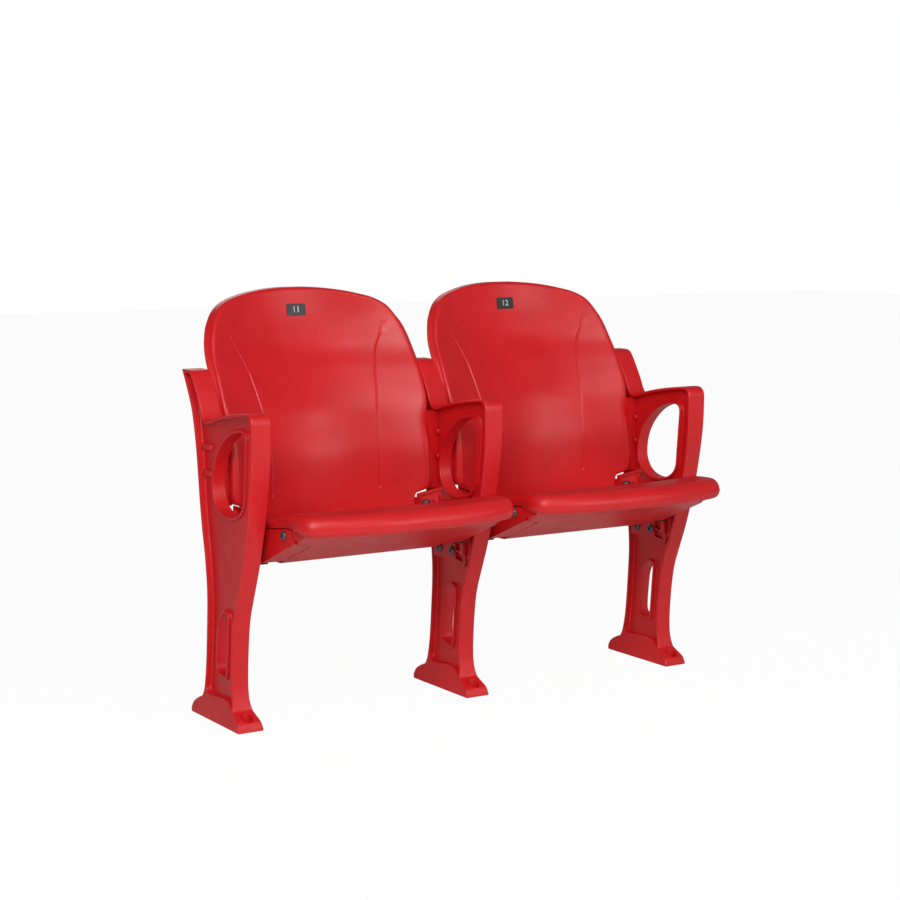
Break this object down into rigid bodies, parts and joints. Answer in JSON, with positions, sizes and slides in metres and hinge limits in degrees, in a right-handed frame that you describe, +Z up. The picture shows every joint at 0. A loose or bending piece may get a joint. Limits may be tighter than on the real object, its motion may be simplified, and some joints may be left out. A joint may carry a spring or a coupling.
{
  "type": "stadium seat",
  "caption": "Row of tip-up stadium seats: moulded plastic seat pans and backrests hung on floor standards with armrests, each pan hinging up on a pair of side brackets.",
  "frame": {"origin": "centre of the middle standard's foot, on its underside", "axes": "+X along the row to the sitter's left, +Y towards the back of the seats, +Z up"},
  "size_m": [1.0536, 0.5191, 0.806],
  "materials": {
    "red_plastic": "satin moulded polymer",
    "steel": "dark zinc coated",
    "rubber": "matt",
    "nylon": "unfilled nylon",
    "black_plate": "satin"
  },
  "bodies": {
    "frame": {"standard_left": "red_plastic", "standard_middle": "red_plastic", "standard_right": "red_plastic", "backrest_left": "red_plastic", "backrest_right": "red_plastic", "number_plate_left": "black_plate", "number_plate_right": "black_plate", "pivot_bush_left_outer": "nylon", "bearing_block_left_outer": "red_plastic", "bearing_bolt_front_left_outer": "steel", "bearing_bolt_rear_left_outer": "steel", "back_bolt_lower_left_outer": "steel", "back_bolt_upper_left_outer": "steel", "pivot_bush_left_inner": "nylon", "bearing_block_left_inner": "red_plastic", "bearing_bolt_front_left_inner": "steel", "bearing_bolt_rear_left_inner": "steel", "back_bolt_lower_left_inner": "steel", "back_bolt_upper_left_inner": "steel", "pivot_bush_right_inner": "nylon", "bearing_block_right_inner": "red_plastic", "bearing_bolt_front_right_inner": "steel", "bearing_bolt_rear_right_inner": "steel", "back_bolt_lower_right_inner": "steel", "back_bolt_upper_right_inner": "steel", "pivot_bush_right_outer": "nylon", "bearing_block_right_outer": "red_plastic", "bearing_bolt_front_right_outer": "steel", "bearing_bolt_rear_right_outer": "steel", "back_bolt_lower_right_outer": "steel", "back_bolt_upper_right_outer": "steel"},
    "seat_left": {"seat_pan_left": "red_plastic", "hinge_bracket_left_outer": "red_plastic", "pivot_pin_left_outer": "steel", "pivot_clip_left_outer": "steel", "stop_pad_left_outer": "rubber", "bracket_side_bolt_left_outer": "steel", "bracket_top_bolt_left_outer": "steel", "hinge_bracket_left_inner": "red_plastic", "pivot_pin_left_inner": "steel", "pivot_clip_left_inner": "steel", "stop_pad_left_inner": "rubber", "bracket_side_bolt_left_inner": "steel", "bracket_top_bolt_left_inner": "steel"},
    "seat_right": {"seat_pan_right": "red_plastic", "hinge_bracket_right_outer": "red_plastic", "pivot_pin_right_outer": "steel", "pivot_clip_right_outer": "steel", "stop_pad_right_outer": "rubber", "bracket_side_bolt_right_outer": "steel", "bracket_top_bolt_right_outer": "steel", "hinge_bracket_right_inner": "red_plastic", "pivot_pin_right_inner": "steel", "pivot_clip_right_inner": "steel", "stop_pad_right_inner": "rubber", "bracket_side_bolt_right_inner": "steel", "bracket_top_bolt_right_inner": "steel"}
  },
  "joints": [
    {"name": "seat_left_tip", "type": "hinge", "parent": "frame", "child": "seat_left", "pos_m": [-0.25, 0.00548, 0.35191], "axis": [-1, 0, 0], "range_deg": [0, 70]},
    {"name": "seat_right_tip", "type": "hinge", "parent": "frame", "child": "seat_right", "pos_m": [0.25, 0.00548, 0.35191], "axis": [-1, 0, 0], "range_deg": [0, 70]}
  ]
}
